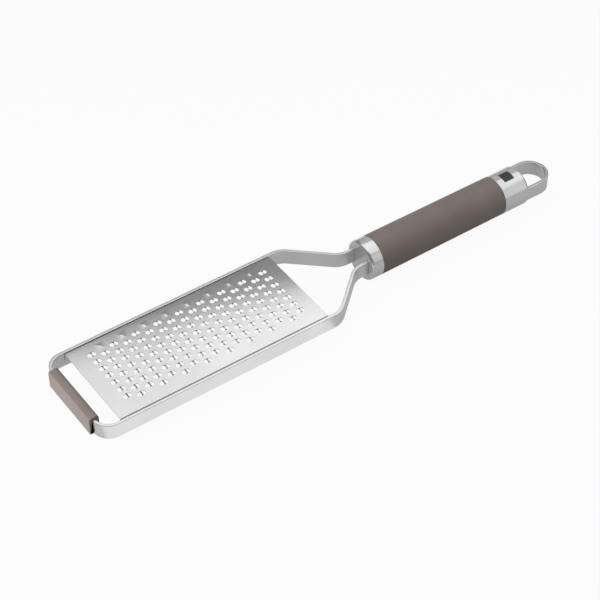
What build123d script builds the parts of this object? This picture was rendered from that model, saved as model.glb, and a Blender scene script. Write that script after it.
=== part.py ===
"""A hand-held rasp zester: a toothed steel plate in a bent strip frame, on a round handle.

All sizes are millimetres. The pieces are drawn about the handle's axis, with X running from
the plate's front edge towards the hanging loop, Y across the plate and Z up. place() then
moves each one so that the origin is under the middle of the whole tool.
"""

from build123d import *
import os

os.makedirs("parts", exist_ok=True)

# Shares of half a length, half a thickness or half a turn are taken with this
half_share = 0.5

# Toothed plate
plate_length = 140.8
plate_thickness = 0.6
plate_drop = 0.3
flange_height = 5.0
plate_bend_radius = 1.1

# Teeth of the plate, in staggered columns from front to rear
tooth_columns = 17
tooth_rows = 7
column_pitch = 7.28
row_pitch = 6.53
opening_length = 4.9
opening_width = 3.3
opening_corner = 0.9
tooth_rise = 0.95
tooth_crown_width = 1.3
tooth_foot_length = 1.5
tooth_waist_length = 0.8
dimple_rise = 0.5
dimple_draft = 50.0

# Frame strip, bent round the plate and back into the handle
frame_width = 66.0
band_thickness = 2.0
band_height = 10.3
band_edge_chamfer = 0.3
front_gap = 11.3
front_corner_radius = 9.5
shoulder_margin = 8.1
neck_run = 28.1
neck_width = 14.0
neck_bend_radius = 13.6
leg_exposed = 9.5
leg_insert = 42.0

# Soft rest clipped over the straight front of the frame, from one corner bend to the other
rest_length = frame_width - band_thickness - front_corner_radius - front_corner_radius
rest_front_wall = 1.7
rest_rear_wall = 2.1
rest_top_wall = 1.6
rest_overhang = 0.5
rest_gap = 0.3
rest_top_radius = 2.0
rest_lip_radius = 0.4

# Handle, front to rear
core_radius = 10.6
core_fit = 0.15
core_chamfer = 0.6
slot_fit = 0.1
ferrule_length = 8.5
ferrule_wall = 2.5
ferrule_rim_radius = 1.6
grip_length = 94.3
grip_front_radius = 12.9
grip_rear_radius = 12.6
grip_edge_chamfer = 0.3
cap_length = 18.7
cap_bore_depth = 9.0
cap_rim_radius = 1.5

# Hanging loop, a second bent strip let into the cap
loop_width = 22.8
loop_reach = 22.0
loop_thickness = 2.0
loop_height = 9.9
loop_insert = 7.0

# Overrun of every cutting tool past the face that it starts from
overrun = 1.0

# Places along X that follow from the sizes above
band_front_x = -(front_gap + band_thickness * half_share)
rest_front_x = -(front_gap + band_thickness + rest_gap + rest_front_wall)
shoulder_x = plate_length + shoulder_margin
neck_x = shoulder_x + neck_run
ferrule_x = neck_x + leg_exposed
grip_x = ferrule_x + ferrule_length
cap_x = grip_x + grip_length
cap_rear_x = cap_x + cap_length
loop_end_x = cap_rear_x + loop_reach
tool_length = loop_end_x - rest_front_x

# Places across the tool and up it
band_side_y = (frame_width - band_thickness) * half_share
band_leg_y = neck_width * half_share
band_top_z = band_height * half_share
plate_top_z = band_top_z - plate_drop
plate_width = frame_width - band_thickness - band_thickness


def place(shape):
    """Moves a piece from the handle's axis to the tool's own origin."""
    middle_x = rest_front_x + tool_length * half_share
    return Pos(-middle_x, 0, grip_front_radius) * shape


def strip_along(path, thickness, height):
    """A strip with broken edges that follows a flat path, standing on its edge."""
    section = Rectangle(thickness, height)
    section = chamfer(section.vertices(), band_edge_chamfer)
    start = Plane(origin=path @ 0, x_dir=(0, 1, 0), z_dir=path % 0)
    return sweep(start * section, path=path)


def frame_band():
    """The long strip: two legs from the handle, a neck, the sides and the front."""
    leg_end_x = ferrule_x + leg_insert
    far_side = [
        (leg_end_x, band_leg_y),
        (neck_x, band_leg_y),
        (shoulder_x, band_side_y),
        (band_front_x, band_side_y),
    ]
    near_side = [(x, -y) for x, y in reversed(far_side)]
    bends = [neck_bend_radius, neck_bend_radius, front_corner_radius]
    path = FilletPolyline(*far_side, *near_side, radius=bends + bends[::-1])
    return strip_along(path, band_thickness, band_height)


def tooth_places():
    """Centres of the pierced teeth and of the unpierced dimples, on the plate's top."""
    pierced = []
    dimpled = []
    first_x = (plate_length - (tooth_columns - 1) * column_pitch) * half_share
    for column in range(tooth_columns):
        x = first_x + column * column_pitch
        rows = tooth_rows + column % 2
        first_y = -(rows - 1) * row_pitch * half_share
        for row in range(rows):
            centre = Pos(x, first_y + row * row_pitch, plate_top_z)
            if row < tooth_rows:
                pierced.append(centre)
            else:
                dimpled.append(centre)
    return pierced, dimpled


def tooth_outline():
    """The opening of one tooth, an oblong with its corners cut off."""
    oblong = Rectangle(opening_length, opening_width)
    return chamfer(oblong.vertices(), opening_corner)


def tooth_bridge():
    """The raised bar that crosses an opening and cuts on both of its edges."""
    foot_y = opening_width * half_share
    crown_y = tooth_crown_width * half_share
    upper = [(-foot_y, 0), (-crown_y, tooth_rise), (crown_y, tooth_rise), (foot_y, 0)]
    lower = [(y, z - plate_thickness) for y, z in reversed(upper)]
    arch = extrude(
        Plane.YZ * Polygon(*upper, *lower, align=None),
        tooth_foot_length * half_share,
        both=True,
    )
    foot_x = tooth_foot_length * half_share
    waist_x = tooth_waist_length * half_share
    near_half = [(-foot_x, -foot_y), (foot_x, -foot_y), (waist_x, 0)]
    far_half = [(foot_x, foot_y), (-foot_x, foot_y), (-waist_x, 0)]
    waisted = Polygon(*near_half, *far_half, align=None)
    reach = tooth_rise + plate_thickness
    return arch & extrude(waisted, reach, both=True)


def plate_section():
    """A channel: the flat of the plate with a flange bent down at each long edge."""
    flat_width = plate_width - plate_thickness - plate_thickness
    outer = Rectangle(plate_width, flange_height, align=(Align.CENTER, Align.MAX))
    outer = fillet(outer.vertices().group_by(Axis.Y)[-1], plate_bend_radius)
    inner = Rectangle(flat_width, flange_height, align=(Align.CENTER, Align.MAX))
    inner_radius = plate_bend_radius - plate_thickness
    inner = fillet(inner.vertices().group_by(Axis.Y)[-1], inner_radius)
    return outer - Pos(0, -plate_thickness) * inner


def rasp_plate():
    """The bent sheet with every opening cut out, every bridge and every dimple raised."""
    pierced, dimpled = tooth_places()
    sheet = extrude(Plane.YZ * plate_section(), plate_length)
    sheet = Pos(0, 0, plate_top_z) * sheet
    cutter = extrude(tooth_outline(), plate_thickness + overrun, both=True)
    sheet = sheet - [centre * cutter for centre in pierced]
    bridge = tooth_bridge()
    dimple = extrude(tooth_outline(), dimple_rise, taper=dimple_draft)
    raised = [centre * bridge for centre in pierced]
    raised += [centre * dimple for centre in dimpled]
    return sheet + raised


def front_rest():
    """A soft channel that sits on the frame's front edge and hangs down both its faces."""
    channel_width = band_thickness + rest_gap + rest_gap
    rest_width = rest_front_wall + channel_width + rest_rear_wall
    rest_height = rest_top_wall + band_height + rest_overhang
    block = Rectangle(rest_width, rest_height, align=(Align.MIN, Align.MAX))
    block = fillet(block.vertices().group_by(Axis.Y)[-1], rest_top_radius)
    channel = Rectangle(channel_width, rest_height, align=(Align.MIN, Align.MAX))
    section = block - Pos(rest_front_wall, -rest_top_wall) * channel
    section = fillet(section.vertices().group_by(Axis.Y)[0], rest_lip_radius)
    corner = Plane(
        origin=(rest_front_x, 0, band_top_z + rest_top_wall),
        x_dir=(1, 0, 0),
        z_dir=(0, -1, 0),
    )
    return extrude(corner * section, rest_length * half_share, both=True)


def leg_slots(length):
    """The two slots that take the frame's legs, running rearward from x = 0."""
    width = band_thickness + slot_fit + slot_fit
    height = band_height + slot_fit + slot_fit
    slot = Box(length, width, height, align=(Align.MIN, Align.CENTER, Align.CENTER))
    return [Pos(0, y, 0) * slot for y in (-band_leg_y, band_leg_y)]


def turned(x, length, radius):
    """A round bar about the handle's axis, from x rearward."""
    return Pos(x, 0, 0) * extrude(Plane.YZ * Circle(radius), length)


def front_ferrule():
    """The steel cup at the front of the handle, slotted for the legs."""
    cup = turned(ferrule_x, ferrule_length, grip_front_radius)
    cup = fillet(cup.edges().group_by(Axis.X)[0], ferrule_rim_radius)
    bore_x = ferrule_x + ferrule_wall
    cup -= turned(bore_x, ferrule_length, core_radius + core_fit)
    slots = leg_slots(ferrule_length + overrun)
    return cup - [Pos(ferrule_x - overrun, 0, 0) * slot for slot in slots]


def handle_core():
    """The bar inside the handle, with a blind slot for each leg of the frame."""
    front_x = ferrule_x + ferrule_wall
    rear_x = cap_x + cap_bore_depth - core_fit
    core = turned(front_x, rear_x - front_x, core_radius)
    core = chamfer(core.edges().filter_by(GeomType.CIRCLE), core_chamfer)
    slots = leg_slots(overrun + leg_insert - ferrule_wall + slot_fit)
    return core - [Pos(front_x - overrun, 0, 0) * slot for slot in slots]


def grip_sleeve():
    """The soft sleeve, a little slimmer towards the rear."""
    section = Polygon(
        (grip_x, core_radius + core_fit),
        (grip_x, grip_front_radius),
        (cap_x, grip_rear_radius),
        (cap_x, core_radius + core_fit),
        align=None,
    )
    outer_corners = section.vertices().sort_by(Axis.Y)[-2:]
    section = chamfer(outer_corners, grip_edge_chamfer)
    return revolve(Plane.XZ * section, Axis.X)


def loop_arms():
    """Where the loop's strip runs: two arms out of the cap, joined by a half turn."""
    arm_y = (loop_width - loop_thickness) * half_share
    arm_x = cap_rear_x - loop_insert
    turn_x = loop_end_x - loop_width * half_share
    end_x = loop_end_x - loop_thickness * half_share
    far_arm = Line((arm_x, arm_y), (turn_x, arm_y))
    turn = ThreePointArc((turn_x, arm_y), (end_x, 0), (turn_x, -arm_y))
    near_arm = Line((turn_x, -arm_y), (arm_x, -arm_y))
    return Wire([far_arm.edge(), turn.edge(), near_arm.edge()])


def end_cap():
    """The steel cup at the rear, with a deep floor that holds the loop's two ends."""
    cup = turned(cap_x, cap_length, grip_rear_radius)
    cup = fillet(cup.edges().group_by(Axis.X)[-1], cap_rim_radius)
    cup -= turned(cap_x - overrun, cap_bore_depth + overrun, core_radius + core_fit)
    depth = loop_insert + slot_fit
    slot = Box(
        depth + overrun,
        loop_thickness + slot_fit,
        loop_height + slot_fit,
        align=(Align.MIN, Align.CENTER, Align.CENTER),
    )
    arm_y = (loop_width - loop_thickness) * half_share
    return cup - [Pos(cap_rear_x - depth, y, 0) * slot for y in (-arm_y, arm_y)]


def hanging_loop():
    """The short strip, bent into the eye that the tool hangs from."""
    return strip_along(loop_arms(), loop_thickness, loop_height)


pieces = {
    "frame_band": frame_band,
    "rasp_plate": rasp_plate,
    "front_rest": front_rest,
    "front_ferrule": front_ferrule,
    "handle_core": handle_core,
    "grip_sleeve": grip_sleeve,
    "end_cap": end_cap,
    "hanging_loop": hanging_loop,
}

for name, make in pieces.items():
    export_step(place(make()), f"parts/{name}.step")
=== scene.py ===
"""Looks of a hand-held rasp zester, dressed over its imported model.

Every piece is drawn in bench millimetres, about the handle's axis: X runs from the toothed
sheet's front edge towards the hanging loop, Y across the sheet and Z up. The bench then
moves each mesh to the tool's own place, in metres.
"""

import logging
import math
from dataclasses import dataclass
from enum import Enum
from typing import Callable, Optional, Sequence, Union

import bmesh
import bpy
from bmesh.types import BMEdge, BMesh, BMFace, BMVert
from mathutils import Matrix, Vector


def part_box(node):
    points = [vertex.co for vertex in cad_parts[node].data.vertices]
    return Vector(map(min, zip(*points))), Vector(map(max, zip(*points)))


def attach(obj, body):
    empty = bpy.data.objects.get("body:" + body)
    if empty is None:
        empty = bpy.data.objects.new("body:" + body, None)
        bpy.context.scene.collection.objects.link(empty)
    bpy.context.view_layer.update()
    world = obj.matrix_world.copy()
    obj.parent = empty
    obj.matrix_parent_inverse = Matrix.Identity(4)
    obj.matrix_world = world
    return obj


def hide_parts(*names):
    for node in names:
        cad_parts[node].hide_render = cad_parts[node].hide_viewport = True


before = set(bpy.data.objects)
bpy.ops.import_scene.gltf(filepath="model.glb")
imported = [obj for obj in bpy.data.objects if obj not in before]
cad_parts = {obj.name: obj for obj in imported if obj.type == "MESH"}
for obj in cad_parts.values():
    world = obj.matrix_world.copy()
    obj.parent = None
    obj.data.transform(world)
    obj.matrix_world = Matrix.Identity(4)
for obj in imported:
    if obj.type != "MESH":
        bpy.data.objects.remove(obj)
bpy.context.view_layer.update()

METRES_PER_MM = 0.001
WELD_MM = 0.004
RING_SLACK_MM = 0.02
CORNER_FLATS = 3
NOISE_MIDDLE = (0.3, 0.7)
WHITE = (1.0, 1.0, 1.0, 1.0)

Socket = bpy.types.NodeSocket
Pair = tuple[float, float]
Triple = tuple[float, float, float]
Colour = Triple

log = logging.getLogger("rasp_zester")


class Node(str, Enum):
    """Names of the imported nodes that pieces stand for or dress."""

    BAND = "frame_band"
    SHEET = "rasp_plate"
    REST = "front_rest"
    FERRULE = "front_ferrule"
    CORE = "handle_core"
    SLEEVE = "grip_sleeve"
    CAP = "end_cap"
    LOOP = "hanging_loop"


class Slot(str, Enum):
    """The record's material slots."""

    FRAME_STEEL = "frame_steel"
    PLATE_STEEL = "plate_steel"
    FITTING_STEEL = "fitting_steel"
    SOFT_GRIP = "soft_grip"


class Pattern(Enum):
    """A finish's noises: patterns per metre along X, Y and Z, finer layers, their strength."""

    ALONG_HANDLE = ((40.0, 2600.0, 2600.0), 3.0, 0.6)
    ALONG_STRIP = ((45.0, 45.0, 2400.0), 3.0, 0.6)
    ROUND_HANDLE = ((2400.0, 45.0, 45.0), 3.0, 0.6)
    STEEL_PATCHES = ((55.0, 55.0, 55.0), 2.0, 0.5)
    SOFT_PORES = ((5200.0, 5200.0, 5200.0), 2.0, 0.5)
    SOFT_PATCHES = ((70.0, 70.0, 70.0), 3.0, 0.5)
    ENAMEL_SPECKS = ((1500.0, 1500.0, 1500.0), 3.0, 0.5)
    MOULDED_GRAINS = ((900.0, 900.0, 900.0), 2.0, 0.5)


@dataclass(frozen=True)
class Bench:
    """Where the bench's drawing lies in the tool's own frame.

    Args:
        front_x: Place of the sheet's front edge along X, in metres.
        axis_z: Height of the handle's axis, in metres.
    """

    front_x: float
    axis_z: float

    @classmethod
    def from_packed(cls) -> "Bench":
        """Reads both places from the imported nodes.

        Returns:
            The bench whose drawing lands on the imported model.
        """
        sheet_low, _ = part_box(Node.SHEET.value)
        low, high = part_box(Node.SLEEVE.value)
        return cls(front_x=sheet_low.x, axis_z=(low.z + high.z) / 2)

    @property
    def matrix(self) -> Matrix:
        """The move from bench millimetres to the tool's metres."""
        place = Matrix.Translation((self.front_x, 0.0, self.axis_z))
        return place @ Matrix.Scale(METRES_PER_MM, 4)


class NodeBoard:
    """A material's or the world's node tree, with short calls for adding nodes.

    Args:
        owner: The new material or world.
    """

    def __init__(self, owner: Union[bpy.types.Material, bpy.types.World]) -> None:
        self.owner = owner
        owner.use_nodes = True
        self.tree = owner.node_tree
        self.tree.nodes.clear()

    def add(
        self, kind: str, inputs: Optional[dict[Union[str, int], object]] = None, **settings: object
    ) -> bpy.types.Node:
        """Adds a node.

        Args:
            kind: The node's type name.
            inputs: Values for inputs, or sockets to join to them, by name or by place.
            **settings: Properties of the node.

        Returns:
            The new node.
        """
        node = self.tree.nodes.new(kind)
        for key, value in settings.items():
            setattr(node, key, value)
        for key, value in (inputs or {}).items():
            if isinstance(value, Socket):
                self.tree.links.new(value, node.inputs[key])
            else:
                node.inputs[key].default_value = value
        return node

    def place(self) -> Socket:
        """Finds the piece's own coordinates.

        Returns:
            The socket with the place, in metres.
        """
        return self.add("ShaderNodeTexCoord").outputs["Object"]

    def work_out(self, operation: str, *terms: Union[Socket, float]) -> Socket:
        """Works out a value.

        Args:
            operation: The math node's operation.
            *terms: The numbers it works on, or the sockets that carry them.

        Returns:
            The socket with the result.
        """
        return self.add("ShaderNodeMath", dict(enumerate(terms)), operation=operation).outputs[0]

    def noise(self, pattern: Pattern) -> Socket:
        """Noise on the piece's own coordinates.

        Args:
            pattern: Which noise.

        Returns:
            The socket with the noise, from 0 to 1.
        """
        scales, layers, strength = pattern.value
        stretch = self.add("ShaderNodeMapping", {"Vector": self.place(), "Scale": scales})
        cloud = self.add(
            "ShaderNodeTexNoise",
            {
                "Vector": stretch.outputs["Vector"], "Scale": 1.0, "Detail": layers,
                "Roughness": strength,
            },
        )
        return cloud.outputs["Fac"]

    def spread(
        self,
        source: Socket,
        low: float,
        high: float,
        start: float = NOISE_MIDDLE[0],
        end: float = NOISE_MIDDLE[1],
    ) -> Socket:
        """Spreads a stretch of a value, or the middle of a noise, between two values.

        Args:
            source: The value or noise.
            low: The result at the start of the stretch.
            high: The result at its end.
            start: Where the stretch starts.
            end: Where it ends.

        Returns:
            The socket with the spread value.
        """
        reach = self.add(
            "ShaderNodeMapRange",
            {"Value": source, "From Min": start, "From Max": end, "To Min": low, "To Max": high},
        )
        return reach.outputs["Result"]

    def blend(self, source: Socket, dark: Colour, light: Colour) -> Socket:
        """Blends two colours over the middle of a noise.

        Args:
            source: The noise.
            dark: The colour where it is low.
            light: The colour where it is high.

        Returns:
            The socket with the blended colour.
        """
        ramp = self.add("ShaderNodeValToRGB", {"Fac": source})
        for stop, place, colour in zip(ramp.color_ramp.elements, NOISE_MIDDLE, (dark, light)):
            stop.position = place
            stop.color = (*colour, 1.0)
        return ramp.outputs["Color"]

    def bumped(self, source: Socket, strength: float, depth: float) -> Socket:
        """Turns a value into small dents.

        Args:
            source: The height, from 0 to 1.
            strength: How strongly the dents show.
            depth: Their depth, in metres.

        Returns:
            The socket with the bent normal.
        """
        bump = self.add(
            "ShaderNodeBump", {"Height": source, "Strength": strength, "Distance": depth}
        )
        return bump.outputs["Normal"]


@dataclass(frozen=True)
class Finish:
    """A surface with patches of colour and a fine grain. Its own values are satin steel's.

    Args:
        name: Name of the material.
        grain: Noise of its grain.
        patches: Noise of its patches.
        dark: Colour of its darker patches.
        light: Colour of its lighter patches.
        smooth: Roughness of its smoothest grain.
        rough: Roughness of its roughest grain.
        scratch: How strongly the grain dents it.
        depth: How deep the grain dents it, in metres.
        metal: How metallic it is, from 0 to 1.
        shine: How strongly it mirrors face on, where it isn't metal.
    """

    name: str
    grain: Pattern
    patches: Pattern = Pattern.STEEL_PATCHES
    dark: Colour = (0.615, 0.615, 0.612)
    light: Colour = (0.655, 0.655, 0.652)
    smooth: float = 0.20
    rough: float = 0.28
    scratch: float = 0.05
    depth: float = 0.00002
    metal: float = 1.0
    shine: float = 0.5

    def made(self) -> bpy.types.Material:
        """Builds the material.

        Returns:
            The new material.
        """
        board = NodeBoard(bpy.data.materials.new(self.name))
        grain = board.noise(self.grain)
        shader = board.add(
            "ShaderNodeBsdfPrincipled",
            {
                "Base Color": self.colour(board),
                "Metallic": self.metal,
                "Roughness": board.spread(grain, self.smooth, self.rough),
                "Normal": board.bumped(grain, self.scratch, self.depth),
                "Specular IOR Level": self.shine,
            },
        )
        board.add("ShaderNodeOutputMaterial", {"Surface": shader.outputs["BSDF"]})
        return board.owner

    def colour(self, board: NodeBoard) -> Socket:
        """Colours the surface.

        Args:
            board: The material's node tree.

        Returns:
            The socket with the colour.
        """
        return board.blend(board.noise(self.patches), self.dark, self.light)


@dataclass(frozen=True)
class ToothedSteel(Finish):
    """The sheet's steel, with painted shade darkening its raised ridges, most of all at its near
    front.

    Args:
        top_z: Height of the sheet's top, in metres.
        painted_shade: Colour of the painted shade on a ridge.
        low_rise: How far above the top the painted shade starts on a ridge.
        high_rise: How far above it the painted shade is at its darkest.
        fade_way: The way along which the painted shade fades, as shares of X, Y and Z.
        fade_start: How far along that way the fading starts.
        fade_end: How far along it the fading ends.
        fade_rest: The share of the painted shade that is left there.
    """

    top_z: float = 0.0
    # Colour of the painted shade on the raised ridges.
    painted_shade: Colour = (0.10, 0.10, 0.10)
    low_rise: float = 0.00022
    high_rise: float = 0.00045
    fade_way: Triple = (0.35, 1.0, 0.0)
    fade_start: float = -0.085
    fade_end: float = -0.020
    fade_rest: float = 0.05

    def colour(self, board: NodeBoard) -> Socket:
        """Colours the steel, with painted shade on its ridges.

        Args:
            board: The material's node tree.

        Returns:
            The socket with the colour.
        """
        place = board.place()
        height = board.add("ShaderNodeSeparateXYZ", {"Vector": place}).outputs["Z"]
        rise = (self.top_z + self.low_rise, self.top_z + self.high_rise)
        way = board.add(
            "ShaderNodeVectorMath", {0: place, 1: self.fade_way}, operation="DOT_PRODUCT"
        )
        faded = board.spread(
            way.outputs["Value"], 1.0, self.fade_rest, self.fade_start, self.fade_end
        )
        # Painted shade: raised ridges are darkened by height, fading away from the sheet's near
        # front.
        mix = board.add(
            "ShaderNodeMixRGB",
            {
                "Fac": board.work_out("MULTIPLY", board.spread(height, 0.0, 1.0, *rise), faded),
                "Color1": super().colour(board),
                "Color2": (*self.painted_shade, 1.0),
            },
        )
        return mix.outputs["Color"]


@dataclass(frozen=True)
class SoftTouch(Finish):
    """Matt taupe soft-touch moulding, as on the sleeve and the rest."""

    grain: Pattern = Pattern.SOFT_PORES
    patches: Pattern = Pattern.SOFT_PATCHES
    dark: Colour = (0.190, 0.158, 0.146)
    light: Colour = (0.218, 0.182, 0.169)
    smooth: float = 0.56
    rough: float = 0.68
    scratch: float = 0.18
    depth: float = 0.00003
    metal: float = 0.0
    shine: float = 0.4


def mesh_from(bm: BMesh, name: str) -> bpy.types.Mesh:
    """Stores a working mesh.

    Args:
        bm: The working mesh, which is freed.
        name: Name of the stored mesh.

    Returns:
        The stored mesh.
    """
    mesh = bpy.data.meshes.new(name)
    bm.to_mesh(mesh)
    bm.free()
    return mesh


def placed(name: str, data: bpy.types.ID) -> bpy.types.Object:
    """Puts a mesh, a lamp or a camera in the scene.

    Args:
        name: Name of the new object.
        data: What the object holds.

    Returns:
        The object.
    """
    thing = bpy.data.objects.new(name, data)
    bpy.context.scene.collection.objects.link(thing)
    return thing


def edges_where(bm: BMesh, test: Callable[[Vector], bool]) -> list[BMEdge]:
    """Finds the edges whose two ends pass a test.

    Args:
        bm: The mesh.
        test: Says whether a place passes.

    Returns:
        The edges.
    """
    return [edge for edge in bm.edges if all(test(vert.co) for vert in edge.verts)]


def rounded(
    bm: BMesh,
    parts: Sequence[object],
    radius: float,
    flats: int = CORNER_FLATS,
    kind: str = "EDGES",
) -> None:
    """Rounds edges, or the corners of a flat face.

    Args:
        bm: The mesh.
        parts: The edges or the corners.
        radius: Radius of the rounding.
        flats: How many flats the rounding has.
        kind: EDGES, or VERTICES for corners.
    """
    bmesh.ops.bevel(
        bm, geom=parts, offset=radius, segments=flats, profile=0.5, affect=kind, material=-1
    )


def extruded(
    bm: BMesh, edges: Sequence[BMEdge], step: Sequence[float] = (0.0, 0.0, 0.0)
) -> list[BMEdge]:
    """Grows faces from edges.

    Args:
        bm: The mesh.
        edges: The edges.
        step: How far the new edges lie from them.

    Returns:
        The new edges.
    """
    grown = bmesh.ops.extrude_edge_only(bm, edges=edges)["geom"]
    bmesh.ops.translate(bm, verts=[g for g in grown if isinstance(g, BMVert)], vec=step)
    return [g for g in grown if isinstance(g, BMEdge)]


def lay_rectangle(
    bm: BMesh, x_span: Pair, y_span: Pair, x_flats: int = 1, y_flats: int = 1, z: float = 0.0
) -> list[BMVert]:
    """Lays a level rectangle.

    Args:
        bm: The mesh to lay it in.
        x_span: Its two ends along X.
        y_span: Its two ends along Y.
        x_flats: How many faces it has along X.
        y_flats: How many faces it has along Y.
        z: Its height.

    Returns:
        Its points.
    """
    middle = Matrix.Translation((sum(x_span) / 2, sum(y_span) / 2, z))
    size = Matrix.Diagonal((x_span[1] - x_span[0], y_span[1] - y_span[0], 1.0, 1.0))
    return bmesh.ops.create_grid(
        bm, x_segments=x_flats, y_segments=y_flats, size=0.5, matrix=middle @ size
    )["verts"]


def thickened(bm: BMesh, thickness: float) -> None:
    """Turns the faces of an open sheet up and makes it thicker, downwards.

    Args:
        bm: The sheet's mesh.
        thickness: How thick it gets.
    """
    bmesh.ops.recalc_face_normals(bm, faces=bm.faces[:])
    if sum(face.normal.z for face in bm.faces) < 0:
        bmesh.ops.reverse_faces(bm, faces=bm.faces[:])
    bmesh.ops.solidify(bm, geom=bm.faces[:], thickness=thickness)


class StripBender:
    """Bends an upright steel strip along runs and arcs, as a forming tool does.

    Args:
        start: Where the strip's middle line starts.
        heading: Its first direction, in degrees from +X.
        thickness: How thick the strip is.
        height: How high it stands.
        edge_radius: Rounding of its four long edges.
    """

    def __init__(
        self, start: Pair, heading: float, thickness: float, height: float, edge_radius: float
    ) -> None:
        self.bm = bmesh.new()
        self.place = Vector((*start, 0.0))
        self.heading = math.radians(heading)
        turn = Matrix.Rotation(self.heading, 4, "Z") @ Matrix.Rotation(math.radians(90), 4, "Y")
        section = Matrix.Translation(self.place) @ turn @ Matrix.Diagonal(
            (height, thickness, 1.0, 1.0)
        )
        bmesh.ops.create_grid(self.bm, x_segments=1, y_segments=1, size=0.5, matrix=section)
        rounded(self.bm, self.bm.verts[:], edge_radius, kind="VERTICES")
        self.end = self.bm.edges[:]

    @property
    def forward(self) -> Vector:
        """The direction in which the strip runs now."""
        return Vector((math.cos(self.heading), math.sin(self.heading), 0.0))

    def run(self, length: float) -> "StripBender":
        """Adds a straight run.

        Args:
            length: How long the run is.

        Returns:
            The bender, for the next call.
        """
        step = self.forward * length
        self.end = extruded(self.bm, self.end, step)
        self.place += step
        return self

    def bend(self, degrees: float, radius: float, steps: int) -> "StripBender":
        """Adds an arc.

        Args:
            degrees: How far the strip turns, to the left if positive.
            radius: Radius of the strip's middle line.
            steps: How many flats the arc has.

        Returns:
            The bender, for the next call.
        """
        turn = math.radians(degrees)
        left = Vector((-self.forward.y, self.forward.x, 0.0))
        centre = self.place + left * math.copysign(radius, turn)
        made = bmesh.ops.spin(
            self.bm, geom=self.end + list({v for e in self.end for v in e.verts}),
            cent=centre, axis=(0.0, 0.0, 1.0), angle=turn, steps=steps,
        )["geom_last"]
        self.end = [g for g in made if isinstance(g, BMEdge)]
        self.place = centre + Matrix.Rotation(turn, 3, "Z") @ (self.place - centre)
        self.heading += turn
        return self

    def closed(self) -> BMesh:
        """Closes the far end.

        Returns:
            The finished strip.
        """
        bmesh.ops.contextual_create(self.bm, geom=self.end)
        bmesh.ops.recalc_face_normals(self.bm, faces=self.bm.faces[:])
        return self.bm


def lathe(outline: Sequence[Pair], flats: int) -> BMesh:
    """Turns an outline round the handle's axis.

    Args:
        outline: Points of the outline, each as a place along X and a radius.
        flats: How many flats the turned piece has.

    Returns:
        The turned skin.
    """
    bm = bmesh.new()
    tip = bmesh.ops.create_vert(bm, co=(outline[0][0], 0.0, outline[0][1]))["vert"][0]
    for x, radius in outline[1:]:
        grown = bmesh.ops.extrude_vert_indiv(bm, verts=[tip])["verts"]
        tip = grown[0]
        tip.co = (x, 0.0, radius)
    bmesh.ops.spin(
        bm, geom=bm.verts[:] + bm.edges[:], cent=(0.0, 0.0, 0.0), axis=(1.0, 0.0, 0.0),
        angle=math.tau, steps=flats, use_merge=True,
    )
    bmesh.ops.remove_doubles(bm, verts=bm.verts[:], dist=WELD_MM)
    bmesh.ops.recalc_face_normals(bm, faces=bm.faces[:])
    return bm


def ring_at(bm: BMesh, x: float, radius: float) -> list[BMEdge]:
    """Finds the edges of one ring round the handle's axis.

    Args:
        bm: The turned mesh.
        x: The ring's place along X.
        radius: Its radius.

    Returns:
        The ring's edges.
    """

    def lies_on_ring(co: Vector) -> bool:
        """Whether a place lies on the ring."""
        return abs(co.x - x) < WELD_MM and abs(math.hypot(co.y, co.z) - radius) < RING_SLACK_MM

    return edges_where(bm, lies_on_ring)


@dataclass
class Piece:
    """What every sub-assembly shares: its bench, and how its meshes are dressed."""

    bench: Bench

    def dress(
        self,
        bm: BMesh,
        name: str,
        finish: bpy.types.Material,
        slot: Slot,
        stands_for: Optional[Node] = None,
        crease: float = 35.0,
    ) -> bpy.types.Object:
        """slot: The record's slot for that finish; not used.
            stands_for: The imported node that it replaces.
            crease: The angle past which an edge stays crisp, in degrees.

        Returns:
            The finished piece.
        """
        bm.transform(self.bench.matrix)
        mesh = mesh_from(bm, name)
        mesh.shade_smooth()
        mesh.set_sharp_from_angle(angle=math.radians(crease))
        mesh.materials.append(finish)
        piece = placed(name, mesh)
        even = piece.modifiers.new("even_shading", "WEIGHTED_NORMAL")
        even.keep_sharp = True
        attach(piece, "root")
        if stands_for is not None:
            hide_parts(stands_for.value)
        log.info("%s: %d faces", name, len(mesh.polygons))
        return piece


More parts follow.
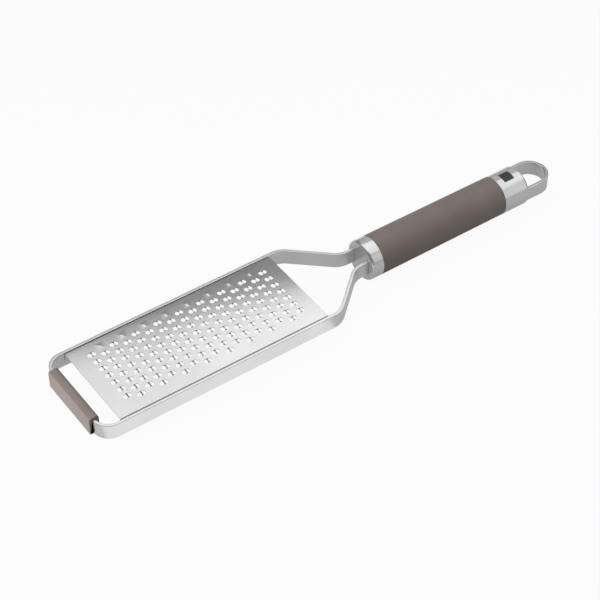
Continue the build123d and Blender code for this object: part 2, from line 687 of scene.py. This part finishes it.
@dataclass
class FrameStrip(Piece):
    """The long strip bent round the sheet, with its two legs in the handle."""

    thickness: float = 2.0
    height: float = 10.3
    edge_radius: float = 0.35
    leg_end_x: float = 228.5
    neck_x: float = 177.0
    shoulder_x: float = 148.9
    front_x: float = -12.3
    side_y: float = 32.0
    leg_y: float = 7.0
    neck_radius: float = 13.6
    neck_flats: int = 14
    front_radius: float = 9.5
    front_flats: int = 24

    def mesh(self) -> BMesh:
        """Bends the strip from the far leg's end to the near leg's.

        Returns:
            The strip.
        """
        spread = self.side_y - self.leg_y
        slant_x = self.neck_x - self.shoulder_x
        slant = math.degrees(math.atan2(spread, slant_x))
        taken = self.neck_radius * math.tan(math.radians(slant) / 2)
        slant_run = math.hypot(spread, slant_x) - 2 * taken
        leg_run = self.leg_end_x - self.neck_x - taken
        side_run = self.shoulder_x - taken - self.front_x - self.front_radius
        front_run = 2 * (self.side_y - self.front_radius)
        strip = StripBender(
            (self.leg_end_x, self.leg_y), 180.0, self.thickness, self.height, self.edge_radius
        )
        neck = (self.neck_radius, self.neck_flats)
        corner = (self.front_radius, self.front_flats)
        for run, turn, arc in (
            (leg_run, -slant, neck), (slant_run, slant, neck), (side_run, 90.0, corner),
            (front_run, 90.0, corner), (side_run, slant, neck), (slant_run, -slant, neck),
        ):
            strip.run(run).bend(turn, *arc)
        strip.run(leg_run)
        return strip.closed()

    def build(self) -> None:
        """Makes the strip and its finish."""
        finish = Finish(
            "brushed_frame_steel", Pattern.ALONG_STRIP,
            dark=(0.69, 0.69, 0.688), light=(0.74, 0.74, 0.737), smooth=0.28, rough=0.38,
        ).made()
        self.dress(self.mesh(), "frame_strip", finish, Slot.FRAME_STEEL, Node.BAND, crease=50.0)


@dataclass
class ToothedSheet(Piece):
    """The sheet with its punched teeth, its row of dimples and its two folded flanges."""

    length: float = 140.8
    width: float = 61.2
    top_z: float = 4.85
    thickness: float = 0.45
    flange_height: float = 5.0
    fold_radius: float = 0.6
    fold_flats: int = 6
    columns: int = 17
    rows: int = 7
    column_pitch: float = 7.35
    row_pitch: float = 6.445
    field_shift_x: float = 0.82
    field_shift_y: float = 1.80
    side_shift: float = 0.15
    opening_length: float = 5.2
    opening_width: float = 3.5
    opening_corner: float = 1.5
    rim_width: float = 0.2
    tooth_rise: float = 0.65
    dimple_length: float = 1.9
    dimple_width: float = 3.0
    dimple_corner: float = 0.855
    dimple_rise: float = 0.42
    dimple_shares: tuple[Pair, ...] = ((0.35, 0.4), (0.3, 0.35), (0.25, 0.25))
    arch_shares: tuple[Triple, ...] = (
        (0.92, 0.34, 0.40), (0.64, 0.70, 0.38), (0.34, 0.93, 0.40), (0.00, 1.00, 0.40),
        (-0.34, 0.93, 0.38), (-0.64, 0.66, 0.34), (-0.92, 0.28, 0.32), (-1.00, 0.00, 0.34),
    )
    cell_flats: int = 4

    @property
    def first_column_x(self) -> float:
        """Place of the first column's middle along X."""
        field_length = (self.columns - 1) * self.column_pitch
        return (self.length - field_length) / 2 + self.field_shift_x

    @property
    def fold_y(self) -> float:
        """Where the flat of the sheet ends and its fold begins."""
        return self.width / 2 - self.fold_radius

    def cell_border(self, bm: BMesh) -> list[BMEdge]:
        """Draws the border of one cell of the pattern.

        Args:
            bm: The mesh to draw in.

        Returns:
            The border's edges.
        """
        half_x, half_y = self.column_pitch / 2, self.row_pitch / 2
        made = lay_rectangle(
            bm, (-half_x, half_x), (-half_y, half_y), self.cell_flats, self.cell_flats
        )
        faces = {face for vert in made for face in vert.link_faces}
        border = [e for f in faces for e in f.edges if len(e.link_faces) == 1]
        inside = [v for v in made if not any(v in e.verts for e in border)]
        bmesh.ops.delete(bm, geom=list(faces), context="FACES_ONLY")
        loose = [e for e in {e for v in made for e in v.link_edges} if e not in border]
        bmesh.ops.delete(bm, geom=loose, context="EDGES")
        bmesh.ops.delete(bm, geom=[v for v in inside if v.is_valid], context="VERTS")
        return border

    def rounded_oblong(self, bm: BMesh, length: float, width: float, corner: float) -> BMFace:
        """Draws one rounded oblong face.

        Args:
            bm: The mesh to draw in.
            length: How long it is, along X.
            width: How wide it is, along Y.
            corner: Radius of its corners.

        Returns:
            The face.
        """
        before = set(bm.verts)
        corners = lay_rectangle(bm, (-length / 2, length / 2), (-width / 2, width / 2))
        rounded(bm, corners, corner, kind="VERTICES")
        return next(f for f in bm.faces if all(v not in before for v in f.verts))

    def cell(self, pierced: bool) -> bpy.types.Mesh:
        """Makes one cell of the pattern, with a tooth or a dimple.

        Args:
            pierced: Whether the cell has a pierced tooth.

        Returns:
            The cell, about its own middle.
        """
        bm = bmesh.new()
        border = self.cell_border(bm)
        outer = self.raise_tooth(bm) if pierced else self.raise_dimple(bm)
        bmesh.ops.bridge_loops(bm, edges=border + outer)
        bmesh.ops.remove_doubles(bm, verts=bm.verts[:], dist=WELD_MM)
        return mesh_from(bm, "pattern_cell")

    def raise_tooth(self, bm: BMesh) -> list[BMEdge]:
        """Opens the sheet and raises a tooth's bridge from its near foot to its far one.

        Args:
            bm: The cell's mesh.

        Returns:
            The outer edges of the flat rim round the opening.
        """
        rim = self.rim_width
        oblong = self.rounded_oblong(
            bm, self.opening_length + 2 * rim, self.opening_width + 2 * rim,
            self.opening_corner + rim,
        )
        outer = self.inset_outline(bm, oblong, rim)
        edge = min(oblong.edges, key=lambda e: e.verts[0].co.y + e.verts[1].co.y)
        bmesh.ops.delete(bm, geom=[oblong], context="FACES_ONLY")
        half_foot = abs(edge.verts[0].co.x)
        half_span = self.opening_width / 2
        for across, up, wide in self.arch_shares:
            edge = extruded(bm, [edge])[0]
            for vert in edge.verts:
                vert.co.x = math.copysign(half_foot * wide, vert.co.x)
                vert.co.y = -half_span * across
                vert.co.z = self.tooth_rise * up
        return outer

    @staticmethod
    def inset_outline(bm: BMesh, face: BMFace, width: float) -> list[BMEdge]:
        """Insets a face, which then is the inner one.

        Args:
            bm: The cell's mesh.
            face: The face.
            width: How wide the new ring of faces is.

        Returns:
            The outer edges of the new ring.
        """
        ring = bmesh.ops.inset_individual(bm, faces=[face], thickness=width, depth=0.0)["faces"]
        return [e for flat in ring for e in flat.edges if len(e.link_faces) == 1]

    def raise_dimple(self, bm: BMesh) -> list[BMEdge]:
        """Raises an unpierced dimple, a low ridge across the sheet.

        Args:
            bm: The cell's mesh.

        Returns:
            The edges of its foot.
        """
        half = self.dimple_length / 2
        crown = self.rounded_oblong(bm, self.dimple_length, self.dimple_width, self.dimple_corner)
        foot: list[BMEdge] = []
        for wide, up in self.dimple_shares:
            outer = self.inset_outline(bm, crown, half * wide)
            foot = foot or outer
            lift = (0.0, 0.0, self.dimple_rise * up)
            bmesh.ops.translate(bm, verts=list(crown.verts), vec=lift)
        return foot

    def lay_margins(self, bm: BMesh) -> None:
        """Lays the plain margins round the toothed field.

        Args:
            bm: The sheet's mesh.
        """
        flat = self.row_pitch / self.cell_flats
        middle = self.field_shift_y
        long_half = (self.rows + 1) * self.row_pitch / 2
        short_half = self.rows * self.row_pitch / 2
        near, far = middle - long_half, middle + long_half
        edges = ((-self.fold_y, near), (far, self.fold_y))
        gaps = ((near, middle - short_half), (middle + short_half, far))
        for column in range(self.columns):
            x = self.first_column_x + column * self.column_pitch
            span = (x - self.column_pitch / 2, x + self.column_pitch / 2)
            for edge in edges:
                lay_rectangle(bm, span, edge, self.cell_flats, 1)
            if column % 2 == 0:
                for gap in gaps:
                    lay_rectangle(bm, span, gap, self.cell_flats, 2)
        field_front = self.first_column_x - self.column_pitch / 2
        field_rear = field_front + self.columns * self.column_pitch
        field_flats = round(2 * long_half / flat)
        for span in ((0.0, field_front), (field_rear, self.length)):
            lay_rectangle(bm, span, (near, far), 1, field_flats)
            for edge in edges:
                lay_rectangle(bm, span, edge, 1, 1)

    def lay_teeth(self, bm: BMesh) -> None:
        """Lays the staggered columns of teeth, with the dimples at the far side.

        Args:
            bm: The sheet's mesh.
        """
        cells = {pierced: self.cell(pierced) for pierced in (True, False)}
        for column in range(self.columns):
            x = self.first_column_x + column * self.column_pitch
            rows = self.rows + column % 2
            for row in range(rows):
                y = self.field_shift_y + (row - (rows - 1) / 2) * self.row_pitch
                known = len(bm.verts)
                bm.from_mesh(cells[row < self.rows])
                bm.verts.ensure_lookup_table()
                bmesh.ops.translate(bm, verts=bm.verts[known:], vec=(x, y, 0.0))
        for mesh in cells.values():
            bpy.data.meshes.remove(mesh)

    def fold_flanges(self, bm: BMesh) -> None:
        """Folds a flange down along each long edge.

        Args:
            bm: The sheet's mesh.
        """
        drop = self.flange_height - self.fold_radius
        for side in (-1, 1):
            y = side * self.fold_y
            edge = edges_where(bm, lambda co: abs(co.y - y) < WELD_MM)
            last = bmesh.ops.spin(
                bm, geom=edge + list({v for e in edge for v in e.verts}),
                cent=(0.0, y, -self.fold_radius), axis=(1.0, 0.0, 0.0),
                angle=-side * math.pi / 2, steps=self.fold_flats,
            )["geom_last"]
            fold = [g for g in last if isinstance(g, BMEdge)]
            extruded(bm, fold, (0.0, 0.0, -drop))

    def build(self) -> None:
        """Makes the sheet and its finish."""
        bm = bmesh.new()
        self.lay_teeth(bm)
        self.lay_margins(bm)
        bmesh.ops.remove_doubles(bm, verts=bm.verts[:], dist=WELD_MM)
        self.fold_flanges(bm)
        bmesh.ops.remove_doubles(bm, verts=bm.verts[:], dist=WELD_MM)
        thickened(bm, self.thickness)
        bmesh.ops.translate(bm, verts=bm.verts[:], vec=(0.0, self.side_shift, self.top_z))
        top_z = self.bench.axis_z + self.top_z * METRES_PER_MM
        finish = ToothedSteel(
            "brushed_sheet_steel", Pattern.ALONG_HANDLE, smooth=0.12, rough=0.19, top_z=top_z
        ).made()
        self.dress(bm, "toothed_sheet", finish, Slot.PLATE_STEEL, Node.SHEET, crease=40.0)


@dataclass
class SoftRest(Piece):
    """The soft channel over the front of the strip."""

    length: float = 45.0
    front_x: float = -15.3
    top_z: float = 6.75
    width: float = 6.4
    height: float = 12.4
    front_wall: float = 1.9
    channel: float = 2.3
    top_wall: float = 1.6
    crown_run: float = 3.0
    crown_drop: float = 0.55
    crown_radius: float = 0.9
    front_radius: float = 0.8
    rear_radius: float = 2.0
    lip_radius: float = 0.4
    end_radius: float = 0.4
    end_angle: float = 60.0

    def mesh(self) -> BMesh:
        """Makes the channel.

        Returns:
            The channel.
        """
        bm = bmesh.new()
        rear_x = self.front_x + self.width
        low_z = self.top_z - self.height
        inner_front = self.front_x + self.front_wall
        inner_rear = inner_front + self.channel
        roof_z = self.top_z - self.top_wall
        crown_x = self.front_x + self.crown_run
        front_z = self.top_z - self.crown_drop
        outline = (
            (self.front_x, low_z), (self.front_x, front_z), (crown_x, self.top_z),
            (rear_x, self.top_z), (rear_x, low_z), (inner_rear, low_z), (inner_rear, roof_z),
            (inner_front, roof_z), (inner_front, low_z),
        )
        y = -self.length / 2
        corners = [bm.verts.new((x, y, z)) for x, z in outline]
        section = bm.faces.new(corners)
        grown = bmesh.ops.extrude_face_region(bm, geom=[section])["geom"]
        moved = [g for g in grown if isinstance(g, BMVert)]
        bmesh.ops.translate(bm, verts=moved, vec=(0.0, self.length, 0.0))
        bmesh.ops.recalc_face_normals(bm, faces=bm.faces[:])
        lips = (self.front_x, inner_front, inner_rear, rear_x)
        for x, z, radius, flats in (
            (rear_x, self.top_z, self.rear_radius, 8),
            (crown_x, self.top_z, self.crown_radius, 4),
            (self.front_x, front_z, self.front_radius, 6),
            *((lip_x, low_z, self.lip_radius, CORNER_FLATS) for lip_x in lips),
        ):
            corner = edges_where(
                bm, lambda co: abs(co.x - x) < WELD_MM and abs(co.z - z) < WELD_MM
            )
            rounded(bm, corner, radius, flats)
        half = self.length / 2
        mouth_from = inner_front - self.lip_radius - WELD_MM
        mouth_to = inner_rear + self.lip_radius + WELD_MM
        ends = edges_where(bm, lambda co: abs(abs(co.y) - half) < WELD_MM)
        mouth = edges_where(
            bm, lambda co: mouth_from < co.x < mouth_to and co.z < roof_z + WELD_MM
        )
        crisp = math.radians(self.end_angle)
        outer = [e for e in ends if e not in mouth and e.calc_face_angle(0.0) > crisp]
        rounded(bm, outer, self.end_radius)
        return bm

    def build(self) -> None:
        """Makes the channel and its finish."""
        finish = SoftTouch("soft_rest_taupe").made()
        self.dress(self.mesh(), "soft_rest", finish, Slot.SOFT_GRIP, Node.REST, crease=50.0)


@dataclass
class Handle(Piece):
    """The ferrule, the soft sleeve and the end cap, all turned about one axis."""

    flats: int = 128
    ferrule_x: float = 186.5
    ferrule_length: float = 8.5
    ferrule_wall: float = 2.5
    ferrule_rim: float = 1.6
    rim_flats: int = 8
    bore_radius: float = 10.75
    front_radius: float = 12.9
    rear_radius: float = 12.6
    sleeve_length: float = 94.3
    sleeve_rim: float = 0.3
    sleeve_flats: int = 4
    cap_length: float = 18.7
    cap_bore: float = 9.0
    cap_rim: float = 1.5
    seam: float = 0.2
    leg_y: float = 7.0
    slot_run: float = 7.25
    slot_width: float = 2.3
    slot_height: float = 10.7

    @property
    def sleeve_x(self) -> float:
        """Where the sleeve starts."""
        return self.ferrule_x + self.ferrule_length

    @property
    def cap_x(self) -> float:
        """Where the cap starts."""
        return self.sleeve_x + self.sleeve_length

    def cup_mesh(
        self, closed_x: float, open_x: float, floor_x: float, radius: float, rim: float
    ) -> BMesh:
        """Turns a cup, which is closed at one end and bored from the other.

        Args:
            closed_x: Place of its closed end along X.
            open_x: Place of its open end.
            floor_x: Where its bore ends.
            radius: Its radius.
            rim: Rounding of its closed end.

        Returns:
            The cup.
        """
        bore = self.bore_radius
        bm = lathe(
            (
                (closed_x, 0.0), (closed_x, radius), (open_x, radius),
                (open_x, bore), (floor_x, bore), (floor_x, 0.0),
            ),
            self.flats,
        )
        rounded(bm, ring_at(bm, closed_x, radius), rim, self.rim_flats)
        rounded(bm, ring_at(bm, open_x, radius), self.seam)
        return bm

    def slotted(self, bm: BMesh) -> BMesh:
        """Cuts the two leg slots through the ferrule's front.

        Args:
            bm: The turned ferrule.

        Returns:
            The slotted ferrule.
        """
        tool = bmesh.new()
        for side in (-1, 1):
            place = Matrix.Translation((self.ferrule_x, side * self.leg_y, 0.0))
            size = Matrix.Diagonal((self.slot_run, self.slot_width, self.slot_height, 1.0))
            bmesh.ops.create_cube(tool, size=1.0, matrix=place @ size)
        holder, cutter = (
            placed("bench_tool", mesh_from(part, "bench_tool")) for part in (bm, tool)
        )
        cut = holder.modifiers.new("slots", "BOOLEAN")
        cut.operation = "DIFFERENCE"
        cut.solver = "EXACT"
        cut.object = cutter
        ready = holder.evaluated_get(bpy.context.evaluated_depsgraph_get())
        result = bmesh.new()
        result.from_mesh(ready.to_mesh())
        ready.to_mesh_clear()
        for loose in (holder, cutter):
            mesh = loose.data
            bpy.data.objects.remove(loose)
            bpy.data.meshes.remove(mesh)
        return result

    def sleeve_mesh(self) -> BMesh:
        """Turns the sleeve.

        Returns:
            The sleeve.
        """
        bm = lathe(
            (
                (self.sleeve_x, self.bore_radius), (self.sleeve_x, self.front_radius),
                (self.cap_x, self.rear_radius), (self.cap_x, self.bore_radius),
                (self.sleeve_x, self.bore_radius),
            ),
            self.flats,
        )
        for x, radius in ((self.sleeve_x, self.front_radius), (self.cap_x, self.rear_radius)):
            rounded(bm, ring_at(bm, x, radius), self.sleeve_rim, self.sleeve_flats)
        return bm

    def build(self) -> None:
        """Makes the three turned pieces and dresses the hidden bar."""
        ferrule = self.slotted(
            self.cup_mesh(
                self.ferrule_x, self.sleeve_x, self.ferrule_x + self.ferrule_wall,
                self.front_radius, self.ferrule_rim,
            )
        )
        cap = self.cup_mesh(
            self.cap_x + self.cap_length, self.cap_x, self.cap_x + self.cap_bore,
            self.rear_radius, self.cap_rim,
        )
        steel = Finish("turned_fitting_steel", Pattern.ROUND_HANDLE).made()
        taupe = SoftTouch("soft_sleeve_taupe").made()
        self.dress(ferrule, "ferrule", steel, Slot.FITTING_STEEL, Node.FERRULE)
        self.dress(self.sleeve_mesh(), "sleeve", taupe, Slot.SOFT_GRIP, Node.SLEEVE)
        self.dress(cap, "rear_cap", steel, Slot.FITTING_STEEL, Node.CAP)
        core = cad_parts[Node.CORE.value]
        core.data.materials.clear()
        core.data.materials.append(
            Finish(
                "hidden_bar_plastic", Pattern.MOULDED_GRAINS, Pattern.MOULDED_GRAINS,
                dark=(0.030, 0.030, 0.030), light=(0.045, 0.045, 0.045), smooth=0.5, rough=0.62,
                scratch=0.15, depth=0.00004, metal=0.0,
            ).made()
        )


@dataclass
class BarePlate(Piece):
    """The bare dark square let into the top of the cap."""

    centre_x: float = 297.7
    side: float = 7.5
    turned_by: float = 3.6
    cap_radius: float = 12.6
    proud: float = 0.03
    depth: float = 0.12
    flats: int = 12

    def mesh(self) -> BMesh:
        """Makes the plate, curved to the cap.

        Returns:
            The plate.
        """
        bm = bmesh.new()
        half = self.side / 2
        x_span = (self.centre_x - half, self.centre_x + half)
        lay_rectangle(bm, x_span, (-half, half), y_flats=self.flats)
        radius = self.cap_radius + self.proud
        tilt = math.radians(self.turned_by)
        for vert in bm.verts:
            turn = vert.co.y / radius - tilt
            vert.co.y = radius * math.sin(turn)
            vert.co.z = radius * math.cos(turn)
        thickened(bm, self.depth)
        return bm

    def build(self) -> None:
        """Makes the plate and its finish."""
        finish = Finish(
            "bare_plate_enamel", Pattern.ENAMEL_SPECKS, Pattern.ENAMEL_SPECKS,
            dark=(0.018, 0.019, 0.019), light=(0.032, 0.033, 0.033), smooth=0.38, rough=0.50,
            scratch=0.08, metal=0.0,
        ).made()
        self.dress(self.mesh(), "bare_plate", finish, Slot.FITTING_STEEL)


@dataclass
class HangingLoop(Piece):
    """The short strip bent into an eye behind the cap."""

    thickness: float = 2.0
    height: float = 9.9
    edge_radius: float = 0.35
    arm_y: float = 10.4
    start_x: float = 301.0
    turn_x: float = 318.6
    flats: int = 48

    def build(self) -> None:
        """Bends the strip and gives it its finish."""
        arm = self.turn_x - self.start_x
        strip = StripBender(
            (self.start_x, self.arm_y), 0.0, self.thickness, self.height, self.edge_radius
        )
        bm = strip.run(arm).bend(-180.0, self.arm_y, self.flats).run(arm).closed()
        finish = Finish("brushed_loop_steel", Pattern.ALONG_STRIP).made()
        self.dress(bm, "loop_strip", finish, Slot.FITTING_STEEL, Node.LOOP, crease=50.0)


@dataclass(frozen=True)
class Lamp:
    """One soft lamp that lights the tool and doesn't show itself.

    Args:
        name: Name of the lamp.
        aim: What it points at, in metres.
        away: Direction from there to the lamp.
        distance: How far off it hangs.
        size: Its width and height.
        glow: How bright its face is, where 1 is white.
        shift: How far it is moved in its own plane, to the left and up.
        lean: How far it is turned in its own plane, in degrees.
        mirrored: Whether the steel mirrors it.
    """

    name: str
    aim: Triple
    away: Triple
    distance: float
    size: Pair
    glow: float
    shift: Pair = (0.0, 0.0)
    lean: float = 0.0
    mirrored: bool = True

    def hang(self) -> None:
        """Hangs the lamp."""
        data = bpy.data.lights.new(self.name, "AREA")
        data.shape = "RECTANGLE"
        data.size, data.size_y = self.size
        data.energy = self.glow * math.pi * self.size[0] * self.size[1]
        away = Vector(self.away).normalized()
        left = Vector((-away.y, away.x, 0.0)).normalized()
        up = away.cross(left)
        turn = math.radians(self.lean)
        across = left * math.cos(turn) + up * math.sin(turn)
        upward = up * math.cos(turn) - left * math.sin(turn)
        place = Vector(self.aim) + away * self.distance
        place += across * self.shift[0] + upward * self.shift[1]
        axes = Matrix((across, upward, across.cross(upward))).transposed()
        lamp = placed(self.name, data)
        lamp.matrix_world = Matrix.Translation(place) @ axes.to_4x4()
        lamp.visible_camera = False
        lamp.visible_glossy = self.mirrored


@dataclass(frozen=True)
class Card:
    """One white card on the floor, which only the steel mirrors.

    Args:
        name: Name of the card.
        x_span: Its two ends along X, in metres.
        y_span: Its two ends along Y.
        glow: How bright it is, where 1 is white.
        lift: How far it lies above the floor.
    """

    name: str
    x_span: Pair
    y_span: Pair
    glow: float = 1.0
    lift: float = 0.0002

    def lay(self) -> None:
        """Lays the card."""
        board = NodeBoard(bpy.data.materials.new(self.name))
        glow = board.add("ShaderNodeEmission", {"Color": WHITE, "Strength": self.glow})
        board.add("ShaderNodeOutputMaterial", {"Surface": glow.outputs[0]})
        card = staged_rectangle(self.name, self.x_span, self.y_span, board.owner, self.lift)
        card.visible_camera = False
        card.visible_diffuse = False
        card.visible_shadow = False


def staged_rectangle(
    name: str, x_span: Pair, y_span: Pair, finish: bpy.types.Material, z: float = 0.0
) -> bpy.types.Object:
    """Lays a level rectangle that belongs to the studio and not to the tool.

    Args:
        name: Name of the rectangle.
        x_span: Its two ends along X, in metres.
        y_span: Its two ends along Y.
        finish: Its material.
        z: Its height.

    Returns:
        The rectangle.
    """
    bm = bmesh.new()
    lay_rectangle(bm, x_span, y_span, z=z)
    mesh = mesh_from(bm, name)
    mesh.materials.append(finish)
    rectangle = placed(name, mesh)
    return rectangle


@dataclass
class Studio:
    """The pale floor, the soft light and the camera."""

    floor_span: Pair = (-6.0, 6.0)
    floor_shade: float = 0.48
    seen_glow: float = 0.95
    mirrored_glow: float = 0.34
    room_light: float = 0.28
    target: Triple = (-0.023977, -0.012564, 0.020094)
    azimuth: float = -35.123
    elevation: float = 44.397
    distance: float = 1.129157
    focal_px: float = 1937.18
    image_px: float = 600.0
    lamps: tuple[Lamp, ...] = (
        Lamp(
            "high_softbox", (-0.087, 0.0, 0.018), (0.411, 0.584, 0.70), 0.30, (0.90, 0.50), 0.92,
            shift=(0.0, 0.238), lean=16.0,
        ),
        Lamp(
            "sheet_softbox", (-0.087, 0.0, 0.018), (0.411, 0.584, 0.70), 0.31, (0.20, 0.24), 0.16,
            shift=(-0.08, 0.105), lean=16.0,
        ),
        Lamp("near_softbox", (0.146, 0.0, 0.015), (0.43, -0.80, 0.42), 0.45, (0.26, 0.38), 0.66),
        Lamp("far_softbox", (0.146, 0.0, 0.015), (0.45, 0.78, 0.44), 0.45, (0.28, 0.3), 0.36),
        Lamp(
            "front_softbox", (-0.17, 0.0, 0.015), (-0.93, 0.14, 0.30), 0.35, (0.36, 0.28), 7.4,
            mirrored=False,
        ),
    )
    cards: tuple[Card, ...] = (
        Card("near_card", (-0.26, -0.008), (-0.26, -0.035)),
        Card("far_card", (0.03, 0.33), (0.028, 0.26), glow=0.85),
    )

    def lay_floor(self) -> None:
        """Lays the floor, which shows white with the tool's soft shadow on it."""
        board = NodeBoard(bpy.data.materials.new("pale_floor"))
        rays = board.add("ShaderNodeLightPath").outputs
        mirrored = board.work_out("MAXIMUM", rays["Is Glossy Ray"], rays["Is Transmission Ray"])
        dimmed = board.work_out("MULTIPLY", mirrored, self.mirrored_glow)
        share = board.work_out("MULTIPLY_ADD", rays["Is Camera Ray"], self.seen_glow, dimmed)
        matt = board.add("ShaderNodeBsdfDiffuse", {"Color": (*(self.floor_shade,) * 3, 1.0)})
        glow = board.add("ShaderNodeEmission", {"Color": WHITE, "Strength": 1.0})
        mix = board.add(
            "ShaderNodeMixShader", {0: share, 1: matt.outputs[0], 2: glow.outputs[0]}
        )
        board.add("ShaderNodeOutputMaterial", {"Surface": mix.outputs[0]})
        staged_rectangle("studio_floor", self.floor_span, self.floor_span, board.owner)

    def light_room(self) -> None:
        """Fills the room with soft light, white where it is seen."""
        board = NodeBoard(bpy.data.worlds.new("studio_room"))
        rays = board.add("ShaderNodeLightPath").outputs
        soft, seen = (
            board.add("ShaderNodeBackground", {"Color": WHITE, "Strength": strength}).outputs[0]
            for strength in (self.room_light, 1.0)
        )
        mix = board.add("ShaderNodeMixShader", {0: rays["Is Camera Ray"], 1: soft, 2: seen})
        board.add("ShaderNodeOutputWorld", {"Surface": mix.outputs[0]})
        bpy.context.scene.world = board.owner

    def stand_camera(self) -> None:
        """Stands the camera at the photograph's angle."""
        az, el = math.radians(self.azimuth), math.radians(self.elevation)
        back = Vector(
            (math.sin(az) * math.cos(el), -math.cos(az) * math.cos(el), math.sin(el))
        )
        data = bpy.data.cameras.new("photo_camera")
        data.lens = self.focal_px * data.sensor_width / self.image_px
        camera = placed("photo_camera", data)
        camera.location = Vector(self.target) + back * self.distance
        camera.rotation_mode = "QUATERNION"
        camera.rotation_quaternion = (-back).to_track_quat("-Z", "Y")
        bpy.context.scene.camera = camera

    def build(self) -> None:
        """Sets the whole studio up."""
        self.lay_floor()
        for card in self.cards:
            card.lay()
        self.light_room()
        for lamp in self.lamps:
            lamp.hang()
        self.stand_camera()
        bpy.context.scene.view_settings.view_transform = "Standard"


def main() -> None:
    """Builds every piece in order, then the studio."""
    logging.basicConfig(level=logging.INFO, format="%(name)s %(message)s")
    bench = Bench.from_packed()
    for piece in (
        FrameStrip(bench),
        ToothedSheet(bench),
        SoftRest(bench),
        Handle(bench),
        BarePlate(bench),
        HangingLoop(bench),
    ):
        piece.build()
    Studio().build()


if __name__ == "__main__":
    main()
